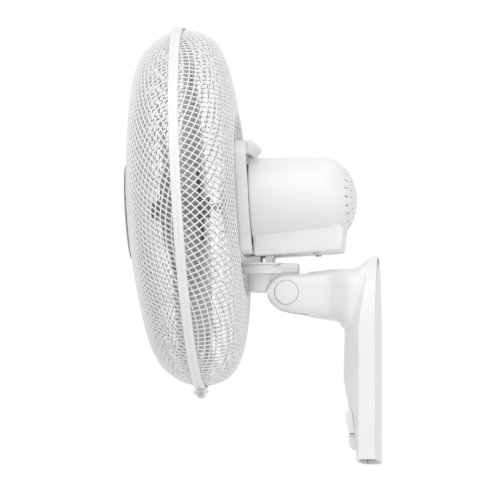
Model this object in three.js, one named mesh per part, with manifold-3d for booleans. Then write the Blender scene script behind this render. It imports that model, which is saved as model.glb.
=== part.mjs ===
// Wall mounted fan. Millimetres, +Z up. The origin is the centre of the wall plate's back face:
// the wall is the plane Y = 0 and the fan faces -Y. The head is modelled in its own group, whose
// local Y runs rearwards along the motor axis and whose local origin is the centre of the guard ring.
import * as THREE from 'three';
import { mergeVertices } from 'three/addons/utils/BufferGeometryUtils.js';
import Module from 'manifold-3d';

// ---- driving dimensions -------------------------------------------------------------------
const gap = 0.3;                 // clearance between pieces that touch
const plasticWall = 2.5;

const plateWidth = 124;
const plateThickness = 4;
const baseHalfWidth = 65;
const baseTop = 124;
const baseBottom = -124.4;
const archCentreZ = 23;          // the base narrows to an arch above this height
const sideDepth = 20;            // depth of the base at its side edges
const topDepth = 10;
const baseFrontBulge = 42;       // greatest depth of the base, below the arm
const baseFrontFoot = 25.5;

const pivotY = -109.9;           // tilt pivot
const pivotZ = 79.6;
const armEndRadius = 23.5;
const armHalfWidth = 26;
const armRootTop = 108.6;
const armRootBottom = 46;
const forkHalfGap = 17.4;
const pivotCapRadius = 14.4;
const boltRadius = 4;

const swivelY = -139.2;          // vertical oscillation axis
const discRadius = 30;
const discTop = 115.7;
const discThickness = 2.7;
const panHeight = 10;
const panWall = 3.4;
const columnRadius = 19.5;
const columnBottom = 81.7;
const crankOffset = 9;           // crank shaft from the oscillation axis
const crankThrow = 5.8;          // 9 x sin 40 degrees, for a sweep of 40 degrees each way
const crankPinRadius = 1.5;
const crankSlotHalfWidth = 3.3;

const headPitch = THREE.MathUtils.degToRad(3.3);  // the fan looks slightly down at rest
const ringCentreY = -227.9;
const ringCentreZ = 183.3;

const guardRadius = 220;
const guardDepthRear = 62.5;
const guardDepthFront = 73.5;
const bandWidth = 12;
const bandThickness = 2.5;
const wire = 2.2;                // thickness of the wire net
const netPitch = 86;             // spacing of the wires in each family
const rearNetAngles = [47, -47];
const frontNetAngles = [-13, 50];
const rearLipRadius = 115;       // the rear net dips forward inside this radius
const rearPlateRadius = 62;
const rearPlateY = 50;
const rearBoreRadius = 18.6;
const frontCapRadius = 57;

const bladeCount = 3;
const bladeTipRadius = 196;
const bladeThickness = 2.2;
const bladeRootHalfSpan = 30;    // degrees each side of the blade's middle
const bladeTipHalfSpan = 37;
const bladeRootRise = 20;        // half of the blade's depth along the axis
const bladeTipRise = 13;
const bladeCentreY = -7;
const wheelTurn = 4.5;           // the angle at which the photographed wheel stands
const hubRadius = 51;
const hubFront = -33;
const hubRear = 12;
const shaftRadius = 4;
const shaftFront = -43;
const shaftRear = 160;

const collarHalfWidth = 72.5;
const collarTop = 74.5;
const collarBottom = -62;
const collarFront = 60;
const collarRear = 75.5;
const lipHalfWidth = 50;
const barrelFrontRadius = 56.8;
const barrelRearRadius = 50.4;
const domeStart = 164;
const domeEnd = 202;
const boxHalfWidth = 39.5;
const boxBottom = -64.5;
const boxRear = 186;
const boxTaper = 0.86;           // its width at the rear, as a share of the front
const ventCount = 20;

const panelHalfWidth = 44;
const panelTop = -66;
const panelBottom = -92;
const panelProud = 3.6;
const keyNames = ['key_off', 'key_low', 'key_medium', 'key_high', 'key_swing'];
const keyWidth = 14.5;
const keyGap = 1.2;
const keyLength = 18;
const keyPivotZ = -90.6;

// ---- materials ----------------------------------------------------------------------------
function material(color, roughness, metalness = 0) {
  return new THREE.MeshStandardMaterial({ color, roughness, metalness });
}
const whitePlastic = material(0xf2f2f1, 0.45);
const whiteWire = material(0xf4f4f3, 0.35);
const greyBlade = material(0xa5a7a9, 0.4);
const darkPlastic = material(0x2c2d2f, 0.5);
const steel = material(0x8f9296, 0.35, 0.9);
const castAluminium = material(0xa9abad, 0.5, 0.8);
const copper = material(0xa8632f, 0.4, 0.8);
const greyPlastic = material(0xb9bbbc, 0.5);

// ---- solid tools --------------------------------------------------------------------------
const wasm = await Module();
wasm.setup();

function signedVolume(geometry) {
  const p = geometry.attributes.position;
  const index = geometry.index;
  const a = new THREE.Vector3();
  const b = new THREE.Vector3();
  const c = new THREE.Vector3();
  let volume = 0;
  for (let k = 0; k < index.count; k += 3) {
    a.fromBufferAttribute(p, index.getX(k));
    b.fromBufferAttribute(p, index.getX(k + 1));
    c.fromBufferAttribute(p, index.getX(k + 2));
    volume += a.dot(b.cross(c)) / 6;
  }
  return volume;
}

function solid(geometry) {
  const bare = geometry.clone();
  bare.deleteAttribute('normal');
  bare.deleteAttribute('uv');
  const merged = mergeVertices(bare, 1e-4);
  const triangles = new Uint32Array(merged.index.array);
  if (signedVolume(merged) < 0) {
    for (let k = 0; k < triangles.length; k += 3) {
      [triangles[k + 1], triangles[k + 2]] = [triangles[k + 2], triangles[k + 1]];
    }
  }
  const vertProperties = new Float32Array(merged.attributes.position.array);
  return new wasm.Manifold(new wasm.Mesh({ numProp: 3, vertProperties, triVerts: triangles }));
}

function geometryOf(body) {
  const mesh = body.getMesh();
  const geometry = new THREE.BufferGeometry();
  geometry.setAttribute('position', new THREE.BufferAttribute(mesh.vertProperties, 3));
  geometry.setIndex(new THREE.BufferAttribute(mesh.triVerts, 1));
  geometry.computeVertexNormals();
  return geometry;
}

function join(...bodies) {
  return bodies.reduce((sum, body) => sum.add(body));
}

function moved(geometry, x = 0, y = 0, z = 0) {
  return geometry.translate(x, y, z);
}

function box(x0, x1, y0, y1, z0, z1) {
  const geometry = new THREE.BoxGeometry(x1 - x0, y1 - y0, z1 - z0);
  return solid(moved(geometry, (x0 + x1) / 2, (y0 + y1) / 2, (z0 + z1) / 2));
}

// A solid turned about the local Y axis from [radius, y] points.
function turnedY(profile, segments = 48) {
  return solid(new THREE.LatheGeometry(profile.map(([r, y]) => new THREE.Vector2(r, y)), segments));
}

function turnedZ(profile, x = 0, y = 0, segments = 48) {
  const geometry = new THREE.LatheGeometry(profile.map(([r, z]) => new THREE.Vector2(r, z)), segments);
  return solid(moved(geometry.rotateX(Math.PI / 2), x, y, 0));
}

function turnedX(profile, y = 0, z = 0, segments = 40) {
  const geometry = new THREE.LatheGeometry(profile.map(([r, x]) => new THREE.Vector2(r, x)), segments);
  return solid(moved(geometry.rotateZ(-Math.PI / 2), 0, y, z));
}

function barX(radius, x0, x1, y, z, segments = 32) {
  return turnedX([[0, x0], [radius, x0], [radius, x1], [0, x1]], y, z, segments);
}

function barZ(radius, z0, z1, x, y, segments = 32) {
  return turnedZ([[0, z0], [radius, z0], [radius, z1], [0, z1]], x, y, segments);
}

function barY(radius, y0, y1, x = 0, z = 0, segments = 32) {
  const geometry = new THREE.LatheGeometry(
    [[0, y0], [radius, y0], [radius, y1], [0, y1]].map(([r, y]) => new THREE.Vector2(r, y)), segments);
  return solid(moved(geometry, x, 0, z));
}

function ringY(inner, outer, y0, y1, segments = 48) {
  return turnedY([[inner, y0], [outer, y0], [outer, y1], [inner, y1], [inner, y0]], segments);
}

// A side view outline of [y, z] points, as thick as it is wide in X.
function sideSlab(points, halfWidth, rounding = 0) {
  const shape = new THREE.Shape(points.map(([y, z]) => new THREE.Vector2(y, z)));
  const depth = 2 * (halfWidth - rounding);
  const geometry = new THREE.ExtrudeGeometry(shape, {
    depth, bevelEnabled: rounding > 0, bevelThickness: rounding, bevelSize: rounding,
    bevelOffset: -rounding, bevelSegments: 2, curveSegments: 8,
  });
  geometry.translate(0, 0, -depth / 2);
  geometry.applyMatrix4(new THREE.Matrix4().makeBasis(
    new THREE.Vector3(0, 1, 0), new THREE.Vector3(0, 0, 1), new THREE.Vector3(1, 0, 0)));
  return solid(mergeIndexed(geometry));
}

function mergeIndexed(geometry) {
  geometry.deleteAttribute('normal');
  geometry.deleteAttribute('uv');
  return mergeVertices(geometry, 1e-4);
}

// A closed skin through rings of points. Each end is a fan round its centre, or on a thin blade a strip
// between its two faces.
function loft(rings, thin = false) {
  const count = rings[0].length;
  const positions = [];
  const triangles = [];
  for (const ring of rings) {
    for (const [x, y, z] of ring) positions.push(x, y, z);
  }
  for (let i = 0; i < rings.length - 1; i += 1) {
    for (let j = 0; j < count; j += 1) {
      const next = (j + 1) % count;
      const a = i * count + j;
      const b = i * count + next;
      const c = (i + 1) * count + next;
      const d = (i + 1) * count + j;
      triangles.push(a, b, c, a, c, d);
    }
  }
  for (const [start, flip] of [[0, true], [(rings.length - 1) * count, false]]) {
    if (thin) {
      for (let j = 0; j < count / 2 - 1; j += 1) {
        const [a, b] = [start + j, start + j + 1];
        const [c, d] = [start + count - 2 - j, start + count - 1 - j];
        triangles.push(...(flip ? [c, b, a, d, c, a] : [a, b, c, a, c, d]));
      }
      continue;
    }
    const centre = positions.length / 3;
    const sum = [0, 0, 0];
    for (let j = 0; j < count; j += 1) {
      for (let k = 0; k < 3; k += 1) sum[k] += positions[(start + j) * 3 + k] / count;
    }
    positions.push(...sum);
    for (let j = 0; j < count; j += 1) {
      const a = start + j;
      const b = start + (j + 1) % count;
      triangles.push(...(flip ? [centre, b, a] : [centre, a, b]));
    }
  }
  const geometry = new THREE.BufferGeometry();
  geometry.setAttribute('position', new THREE.Float32BufferAttribute(positions, 3));
  geometry.setIndex(triangles);
  return solid(geometry);
}

function mix(a, b, t) {
  return a + (b - a) * t;
}

function smooth(t) {
  const s = Math.min(1, Math.max(0, t));
  return s * s * (3 - 2 * s);
}

function arc(cx, cy, radius, from, to, steps) {
  const points = [];
  for (let k = 0; k <= steps; k += 1) {
    const angle = THREE.MathUtils.degToRad(mix(from, to, k / steps));
    points.push([cx + radius * Math.cos(angle), cy + radius * Math.sin(angle)]);
  }
  return points;
}

// ---- the tree of named pieces -------------------------------------------------------------
const fan = new THREE.Group();
const head = new THREE.Group();
head.position.set(0, ringCentreY, ringCentreZ);
head.rotation.x = headPitch;
fan.add(head);

function piece(parent, name, body, look) {
  const mesh = new THREE.Mesh(geometryOf(body), look);
  mesh.name = name;
  parent.add(mesh);
}

function pieces(parent, name, bodies, look) {
  bodies.forEach((body, k) => piece(parent, `${name}_${k + 1}`, body, look));
}

// ---- base and arm -------------------------------------------------------------------------
function baseWidthAt(z) {
  if (z <= archCentreZ) return baseHalfWidth;
  const rise = (z - archCentreZ) / (baseTop - archCentreZ);
  return baseHalfWidth * Math.sqrt(Math.max(0, 1 - rise * rise));
}

function baseFrontAt(z) {
  const waist = -25;
  if (z < waist) {
    const t = Math.max(0, (z - baseBottom) / (waist - baseBottom));
    return mix(baseFrontFoot, baseFrontBulge, t ** 1.15);
  }
  if (z < 40) return baseFrontBulge - 1.5 * smooth((z - waist) / 65);
  return mix(baseFrontBulge - 1.5, topDepth + 6, smooth((z - 40) / (baseTop - 40)));
}

function baseRing(z, inset) {
  const half = Math.max(2, baseWidthAt(z) - inset);
  const side = mix(sideDepth, topDepth, smooth((z - archCentreZ) / (baseTop - archCentreZ))) - inset;
  const rounding = smooth((baseTop - z) / 9);
  const front = mix(topDepth - 3, baseFrontAt(z), rounding) - inset;
  const sideHere = Math.min(side, front);
  const points = [[half, inset > 0 ? 1 : -gap, z]];
  const steps = 10;
  for (let k = 0; k <= steps; k += 1) {
    const t = mix(1, -1, k / steps);
    const rise = 1 - Math.abs(t) ** 2.3;
    points.push([half * t, -(sideHere + (front - sideHere) * rise), z]);
  }
  points.push([-half, inset > 0 ? 1 : -gap, z]);
  return points;
}

function baseBody(inset) {
  const rings = [];
  const low = inset > 0 ? baseBottom - 1 : baseBottom;
  for (const z of [low, -90, -60, -40, -25, 0, archCentreZ]) rings.push(baseRing(z, inset));
  const steps = 7;
  const top = baseTop - archCentreZ - inset;
  for (let k = 1; k <= steps; k += 1) {
    rings.push(baseRing(archCentreZ + top * Math.sin((Math.PI / 2) * 0.985 * k / steps), inset));
  }
  return loft(rings);
}

function armRing(y, inset) {
  const fromPivot = y - pivotY;
  const root = smooth((y + 62) / 34);
  let top = mix(pivotZ + armEndRadius, armRootTop, smooth((fromPivot + 6) / 80));
  let bottom = mix(pivotZ - armEndRadius, armRootBottom, Math.max(0, Math.min(1, (fromPivot + 8) / 68)));
  if (fromPivot < 0) {
    const half = Math.sqrt(Math.max(1, armEndRadius ** 2 - fromPivot ** 2));
    top = Math.min(top, pivotZ + half);
    bottom = Math.max(bottom, pivotZ - half);
  }
  bottom -= 22 * smooth((y + 52) / 22);
  top += 9 * smooth((y + 30) / 20);
  const halfWidth = armHalfWidth + 22 * root - 5 * smooth((y + 20) / 14) - inset;
  const centre = (top + bottom) / 2;
  const halfHeight = (top - bottom) / 2 - inset;
  const ring = [];
  const sides = 18;
  for (let k = 0; k < sides; k += 1) {
    const angle = (2 * Math.PI * (k + 0.5)) / sides;
    const c = Math.cos(angle);
    const s = Math.sin(angle);
    const power = 2 / 3.4;
    ring.push([
      halfWidth * Math.sign(c) * Math.abs(c) ** power, y,
      centre + halfHeight * Math.sign(s) * Math.abs(s) ** power]);
  }
  return ring;
}

function armBody(inset, from, to) {
  const rings = [];
  const tip = pivotY - armEndRadius + 0.4;
  const steps = 5;
  for (let k = 0; k <= steps; k += 1) {
    const y = pivotY - (pivotY - tip) * Math.cos((Math.PI / 2) * k / steps);
    if (y >= from) rings.push(armRing(y, inset));
  }
  for (let y = pivotY + 12; y < to; y += 13) {
    if (y >= from) rings.push(armRing(y, inset));
  }
  rings.push(armRing(to, inset));
  return loft(rings);
}

const forkEnd = pivotY + armEndRadius + 2.5;
const coverStart = pivotY + 18;

function baseShell() {
  let body = join(baseBody(0), armBody(0, -999, -7));
  body = body.subtract(box(-200, 200, -gap, 50, -200, 200));
  body = body.subtract(baseBody(plasticWall));
  body = body.subtract(armBody(plasticWall + 0.8, forkEnd + 4, -4));
  body = body.subtract(box(-forkHalfGap, forkHalfGap, -200, forkEnd, -200, 200));
  body = body.subtract(barX(boltRadius + gap, -100, 100, pivotY, pivotZ));
  for (const side of [-1, 1]) {
    const x0 = side > 0 ? armHalfWidth - 4 : -200;
    const x1 = side > 0 ? 200 : -(armHalfWidth - 4);
    body = body.subtract(barX(pivotCapRadius + 0.5, x0, x1, pivotY, pivotZ, 40));
  }
  body = body.subtract(barY(4, forkEnd - 3, forkEnd + 8, 0, pivotZ + 6, 16));
  for (const [, x] of keyPlaces()) {
    const half = keyWidth / 2 + 0.5;
    body = body.subtract(box(x - half, x + half, -60, -12, keyPivotZ - keyLength - 2, keyPivotZ + 3.5));
  }
  return body;
}

function keyPlaces() {
  const step = keyWidth + keyGap;
  return keyNames.map((name, k) => [name, (k - (keyNames.length - 1) / 2) * step]);
}
piece(fan, 'base_shell', baseShell(), whitePlastic);

const wallScrewPlaces = [[-42, 70], [42, 70], [-48, -96], [48, -96]];

function wallPlate() {
  const inset = plasticWall + 2 * gap;
  const shape = new THREE.Shape();
  const low = baseBottom + inset;
  shape.moveTo(-(baseHalfWidth - inset), low);
  shape.lineTo(baseHalfWidth - inset, low);
  const steps = 12;
  for (let k = 0; k <= steps; k += 1) {
    const angle = (Math.PI / 2) * 0.97 * k / steps;
    shape.lineTo((baseHalfWidth - inset) * Math.cos(angle),
      archCentreZ + (baseTop - archCentreZ - 3 * inset) * Math.sin(angle));
  }
  for (let k = steps; k >= 0; k -= 1) {
    const angle = (Math.PI / 2) * 0.97 * k / steps;
    shape.lineTo(-(baseHalfWidth - inset) * Math.cos(angle),
      archCentreZ + (baseTop - archCentreZ - 3 * inset) * Math.sin(angle));
  }
  const geometry = new THREE.ExtrudeGeometry(shape, { depth: plateThickness, bevelEnabled: false });
  geometry.rotateX(Math.PI / 2);
  let body = solid(mergeIndexed(geometry));
  for (const [x, z] of wallScrewPlaces) body = body.subtract(barY(2.8, -50, 50, x, z, 12));
  return body;
}
piece(fan, 'wall_plate', wallPlate(), greyPlastic);

pieces(fan, 'wall_screw', wallScrewPlaces.map(([x, z]) => join(
  barY(4.6, -plateThickness - gap - 3, -plateThickness - gap, x, z, 12),
  barY(2.4, -plateThickness - gap - 1, -gap, x, z, 8))), steel);

// ---- what the base holds ------------------------------------------------------------------
const innerFace = -plateThickness - gap;
piece(fan, 'terminal_block', box(-46, -18, innerFace - 12, innerFace, -48, -30), darkPlastic);
piece(fan, 'cable_gland', box(24, 42, innerFace - 15, innerFace, -123.5, -110)
  .subtract(barZ(3.5, -130, -100, 33, innerFace - 8, 20)), darkPlastic);

const keyPivotY = -19;
const keysHalf = (keyNames.length * (keyWidth + keyGap) - keyGap) / 2;
function switchBlock() {
  let body = box(-keysHalf - 3, keysHalf + 3, -12, innerFace, keyPivotZ - keyLength, keyPivotZ + 4);
  for (const side of [-1, 1]) {
    const inner = keysHalf + 0.5;
    const ear = side > 0
      ? box(inner, inner + 2.5, keyPivotY - 2.6, -11, keyPivotZ - 3, keyPivotZ + 3)
      : box(-inner - 2.5, -inner, keyPivotY - 2.6, -11, keyPivotZ - 3, keyPivotZ + 3);
    body = body.add(ear);
  }
  return body.subtract(barX(1.5, -100, 100, keyPivotY, keyPivotZ, 16));
}
piece(fan, 'switch_block', switchBlock(), darkPlastic);
piece(fan, 'key_shaft', barX(1.2, -keysHalf - 3, keysHalf + 3, keyPivotY, keyPivotZ, 12), steel);

function controlPanel() {
  const front = (z) => baseFrontAt(z) + panelProud;
  const body = sideSlab([
    [-front(panelTop), panelTop], [-10, panelTop], [-10, panelBottom], [-front(panelBottom), panelBottom],
  ], panelHalfWidth);
  return body.subtract(baseBody(-gap));
}
piece(fan, 'control_panel', controlPanel(), whitePlastic);

function keyBody(x) {
  const front = baseFrontAt(panelBottom) + panelProud;
  const top = panelBottom - 0.9;
  const low = top - keyLength + 2;
  const outline = [
    [-front, top], [keyPivotY - 3, top], [keyPivotY - 3, keyPivotZ + 1.5], [keyPivotY - 1.6, keyPivotZ + 2.8],
    [keyPivotY + 1.6, keyPivotZ + 2.8], [keyPivotY + 3, keyPivotZ + 1.4], [keyPivotY + 3, keyPivotZ - 5],
    [keyPivotY, low + 4], [keyPivotY - 4, low + 0.6], [-front + 3, low], [-front + 0.9, low + 1], [-front, low + 3],
  ];
  const body = sideSlab(outline, keyWidth / 2);
  return body.subtract(barX(1.5, -50, 50, keyPivotY, keyPivotZ, 16)).translate([x, 0, 0]);
}
for (const [name, x] of keyPlaces()) piece(fan, name, keyBody(x), whitePlastic);

// ---- tilt pivot ---------------------------------------------------------------------------
const capSeat = armHalfWidth - 4;
const lugHalf = 16;
const washerGap = forkHalfGap - lugHalf;
piece(fan, 'tilt_bolt', join(
  barX(boltRadius, -capSeat + 1, capSeat + 2, pivotY, pivotZ),
  barX(7, -capSeat - 2.2, -capSeat - gap, pivotY, pivotZ, 6),
  barX(boltRadius, -capSeat - 1, -capSeat + 2, pivotY, pivotZ)), steel);
piece(fan, 'tilt_nut', turnedX([[boltRadius + 0.2, capSeat + gap], [7.5, capSeat + gap], [7.5, capSeat + 2],
  [boltRadius + 0.2, capSeat + 2], [boltRadius + 0.2, capSeat + gap]], pivotY, pivotZ, 24), steel);
pieces(fan, 'friction_washer', [-1, 1].map((side) => {
  const middle = side * (lugHalf + washerGap / 2);
  const half = washerGap / 2 - gap;
  return turnedX([[boltRadius + gap, middle - half], [13, middle - half], [13, middle + half],
    [boltRadius + gap, middle + half], [boltRadius + gap, middle - half]], pivotY, pivotZ, 32);
}), darkPlastic);

function pivotCap(side) {
  const seat = capSeat + 2.6;
  const edge = armHalfWidth - 0.2;
  const profile = [[0, seat], [pivotCapRadius, seat], [pivotCapRadius, edge], [pivotCapRadius - 0.7, edge + 0.7],
    [pivotCapRadius * 0.6, edge + 1.5], [0, edge + 1.9]];
  return turnedX(profile.map(([r, x]) => [r, side * x]), pivotY, pivotZ, 30);
}
piece(fan, 'pivot_cap_right', pivotCap(1), whitePlastic);
piece(fan, 'pivot_cap_left', pivotCap(-1), whitePlastic);

// ---- neck and oscillation drive -----------------------------------------------------------
const panTop = discTop - discThickness - gap;
const panBottom = panTop - panHeight;
const panInner = discRadius - panWall;
const driveRadius = 16.2;
const driveTop = panBottom + 1;
const spigotBottom = panBottom + 5;

function neckBody() {
  let body = join(
    barZ(discRadius, panBottom, panTop, 0, swivelY, 30),
    barZ(columnRadius, columnBottom, panBottom + 1, 0, swivelY, 30),
    box(-lugHalf, lugHalf, swivelY, pivotY, columnBottom, panBottom + 1),
    barX(armEndRadius - 3.5, -lugHalf, lugHalf, pivotY, pivotZ, 30),
    box(-lugHalf, lugHalf, pivotY - 14, pivotY + 12.6, pivotZ + 8, panTop - 3.5),
    box(-21, 21, pivotY - 9, pivotY + 12.9, pivotZ + armEndRadius + 1.8, panTop - 3),
    box(-24, 24, pivotY - 12, pivotY + 12.9, panTop - 3.6, discTop - 0.6));
  for (const [x0, x1] of [[-60, -lugHalf - gap], [lugHalf + gap, 60]]) {
    body = body.subtract(barX(armEndRadius + 0.9, x0, x1, pivotY, pivotZ, 36));
  }
  body = body.subtract(barZ(discRadius + 0.5, panTop, 200, 0, swivelY, 30));
  body = body.subtract(barZ(panInner, panBottom + 1.6, 200, 0, swivelY, 30));
  body = body.subtract(barZ(panInner + 1, spigotBottom + 1.2, spigotBottom + 3.4, 0, swivelY, 30));
  body = body.subtract(barZ(driveRadius + gap, columnBottom + 2.5, panTop, 0, swivelY, 30));
  const scoopHalf = 21.7;
  const scoopDepth = 6.2;
  const scoopRadius = (scoopHalf ** 2 + scoopDepth ** 2) / (2 * scoopDepth);
  for (const [x0, x1] of [[-60, -discRadius + 9], [discRadius - 9, 60]]) {
    const scoop = barX(scoopRadius, x0, x1, swivelY, panTop - scoopDepth + scoopRadius, 36);
    body = body.subtract(scoop.subtract(barZ(panInner + 1.6, 0, 200, 0, swivelY, 30)));
  }
  body = body.subtract(barX(boltRadius + gap, -100, 100, pivotY, pivotZ));
  return body;
}
piece(fan, 'neck', neckBody(), whitePlastic);

const crankY = swivelY + crankOffset;
piece(fan, 'oscillation_motor', join(
  barZ(driveRadius, columnBottom + 2.5 + gap, driveTop, 0, swivelY, 30),
  barZ(1.5, driveTop - 1, driveTop + 3.6, 0, crankY, 12)), steel);
piece(fan, 'oscillation_crank', join(
  turnedZ([[1.8, driveTop + 1], [8, driveTop + 1], [8, driveTop + 3.6], [1.8, driveTop + 3.6], [1.8, driveTop + 1]],
    0, crankY, 32),
  barZ(crankPinRadius, driveTop + 3, spigotBottom + 3.4, 0, crankY + crankThrow, 12)), steel);

function housingZ(y, localZ) {
  const along = (y - ringCentreY + localZ * Math.sin(headPitch)) / Math.cos(headPitch);
  return ringCentreZ + along * Math.sin(headPitch) + localZ * Math.cos(headPitch);
}

function turntable() {
  const disc = barZ(discRadius, panTop + gap, discTop, 0, swivelY, 30);
  const spigot = barZ(panInner - gap, spigotBottom, panTop + 1, 0, swivelY, 30);
  const bead = barZ(panInner + 0.6, spigotBottom + 1.6, spigotBottom + 2.8, 0, swivelY, 30);
  const post = (front, rear, lean, under) => sideSlab([
    [swivelY + front, discTop - 1], [swivelY + rear, discTop - 1],
    [swivelY + rear + lean, housingZ(swivelY + rear + lean, under)],
    [swivelY + front + lean, housingZ(swivelY + front + lean, under)]], 22);
  const slot = box(-crankSlotHalfWidth, crankSlotHalfWidth, swivelY + 1, swivelY + 18, 0, spigotBottom + 3.8);
  return join(disc, spigot, bead, post(-15.5, -2.3, 0, boxBottom - gap),
    post(2.6, 11.4, 2, boxBottom - gap)).subtract(slot);
}
piece(fan, 'turntable', turntable(), darkPlastic);

// ---- motor housing ------------------------------------------------------------------------
// An outline of [x, z] points seen from the front, between two planes across the motor axis.
function frontSlab(points, y0, y1, rounding = 0) {
  const shape = new THREE.Shape(points.map(([x, z]) => new THREE.Vector2(x, z)));
  const depth = y1 - y0 - 2 * rounding;
  const geometry = new THREE.ExtrudeGeometry(shape, {
    depth, bevelEnabled: rounding > 0, bevelThickness: rounding, bevelSize: rounding,
    bevelOffset: -rounding, bevelSegments: 2, curveSegments: 8,
  });
  geometry.applyMatrix4(new THREE.Matrix4().makeBasis(
    new THREE.Vector3(1, 0, 0), new THREE.Vector3(0, 0, 1), new THREE.Vector3(0, -1, 0)));
  geometry.translate(0, y1 - rounding, 0);
  return solid(mergeIndexed(geometry));
}

function collarOutline(inset) {
  const corner = 40;
  const half = collarHalfWidth - inset;
  const top = collarTop - inset;
  const low = collarBottom + inset;
  const right = [
    ...arc(collarHalfWidth - corner, collarTop - corner, corner - inset, 90, 0, 6),
    ...arc(0, 0, half, -6, -36, 4),
    [half * Math.cos(THREE.MathUtils.degToRad(36)), low + 8],
    ...arc(half * Math.cos(THREE.MathUtils.degToRad(36)) - 8, low + 8, 8, -30, -90, 3),
  ];
  right[0][1] = top;
  const left = right.map(([x, z]) => [-x, z]).reverse();
  return [...right, ...left];
}

function frontCover() {
  let body = frontSlab(collarOutline(0), collarFront, collarRear + 6, 4);
  body = body.subtract(box(-200, 200, collarRear, 200, -200, 200));
  body = body.subtract(frontSlab(collarOutline(plasticWall), collarFront + plasticWall, 120));
  const lip = sideSlab([
    [70, 58.2], [79.6, 58.2], [80.4, 61.4], [81.8, 63.8], [85, 65.6], [89, 65.4], [92.2, 64.9], [93.6, 66.6],
    [92.6, 69.2], [90, collarTop - 2.6], [86.5, collarTop - 0.7], [82, collarTop], [70, collarTop]], lipHalfWidth, 1.2);
  body = join(body, lip.subtract(box(-200, 200, 0, collarRear - 3, -200, 200)),
    ringY(rearBoreRadius - 4.6, 46, rearPlateY + wire + gap, collarFront + plasticWall),
    ringY(rearBoreRadius - 4.6, rearBoreRadius - 0.6, rearPlateY - 12, collarFront));
  return body.subtract(barY(rearBoreRadius - 4.6, -100, 100, 0, 0, 30));
}
piece(head, 'motor_front_cover', frontCover(), whitePlastic);

function barrelProfile(inset) {
  const length = domeEnd - domeStart - inset;
  const dome = arc(0, 0, 1, 0, 90, 6).map(([c, s]) => [(barrelRearRadius - inset) * c, domeStart + length * s]);
  const start = inset > 0 ? collarRear - 5 : collarRear + gap;
  return [[0, start], [barrelFrontRadius - inset, start], ...dome.slice(0, -1), [0, domeEnd - inset]];
}

function lowerBox(inset) {
  const start = inset > 0 ? collarRear - 5 : collarRear + gap;
  const low = boxBottom + inset;
  const rear = boxRear - inset;
  const outline = [[start, low], ...arc(rear - 8, low + 4, 4, -90, -5, 3), [rear, -38], [rear - 14, -20], [start, -20]];
  return sideSlab(outline, boxHalfWidth - inset, inset > 0 ? 0 : 2.5)
    .subtract(box(-200, 200, -200, start, -200, 200))
    .warp((point) => {
      point[0] *= mix(1, boxTaper, (point[1] - collarRear) / (boxRear - collarRear));
    });
}

function rearCover() {
  let body = join(turnedY(barrelProfile(0), 30), lowerBox(0));
  body = body.subtract(turnedY(barrelProfile(plasticWall), 28)).subtract(lowerBox(plasticWall));
  const slots = [];
  for (const [radius, along, length] of [[33.5, 192.4, 5], [24, 197.4, 3.6]]) {
    for (let k = 0; k < ventCount; k += 1) {
      const angle = (2 * Math.PI * (k + 0.5)) / ventCount;
      const slot = new THREE.BoxGeometry(length, 16, 1.4);
      slot.translate(radius, along, 0);
      slots.push(solid(slot.rotateY(angle)));
    }
  }
  for (const slot of slots) body = body.subtract(slot);
  for (const x of [-26, 26]) body = body.subtract(barZ(2, -100, -50, x, 150, 12));
  return body;
}
piece(head, 'motor_rear_cover', rearCover(), whitePlastic);
pieces(head, 'cover_screw', [-26, 26].map((x) => join(
  barZ(3.6, boxBottom - gap - 1.6, boxBottom - gap, x, 150, 16),
  barZ(1.7, boxBottom - gap - 1, boxBottom + 9, x, 150, 12))), steel);

// ---- motor --------------------------------------------------------------------------------
const coreStart = 88;
const coreEnd = 124;
const bracketRadius = 49;
const bracketFront = coreStart - 18;
const bracketRear = coreEnd + 18;
function bracket(from, toCore) {
  const step = Math.sign(toCore - from);
  const profile = [[8.3, from - 4 * step], [16, from - 4 * step], [16, from], [bracketRadius, from],
    [bracketRadius, toCore - gap * step], [bracketRadius - 3, toCore - gap * step], [bracketRadius - 3, from + 3 * step],
    [8.3, from + 3 * step], [8.3, from - 4 * step]];
  return turnedY(profile, 24);
}
piece(head, 'front_bracket', bracket(bracketFront, coreStart), castAluminium);
piece(head, 'rear_bracket', bracket(bracketRear, coreEnd), castAluminium);
piece(head, 'front_bearing', ringY(shaftRadius + 0.2, 8, bracketFront - 3.5, bracketFront + 2.5, 24), steel);
piece(head, 'rear_bearing', ringY(shaftRadius + 0.2, 8, bracketRear - 2.5, bracketRear + 3.5, 24), steel);
piece(head, 'stator_core', ringY(25, bracketRadius - 1, coreStart, coreEnd, 28), steel);
pieces(head, 'stator_winding', [
  ringY(28, 42, coreStart - 12, coreStart - gap, 24), ringY(28, 42, coreEnd + gap, coreEnd + 12, 24)], copper);
piece(head, 'rotor', ringY(shaftRadius + 0.2, 24.3, coreStart, coreEnd, 28), castAluminium);
piece(head, 'motor_shaft', barY(shaftRadius, shaftFront, shaftRear, 0, 0, 24), steel);
piece(head, 'run_capacitor', box(-17, 17, 96, 140, boxBottom + plasticWall + gap, -50.5), darkPlastic);

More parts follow.
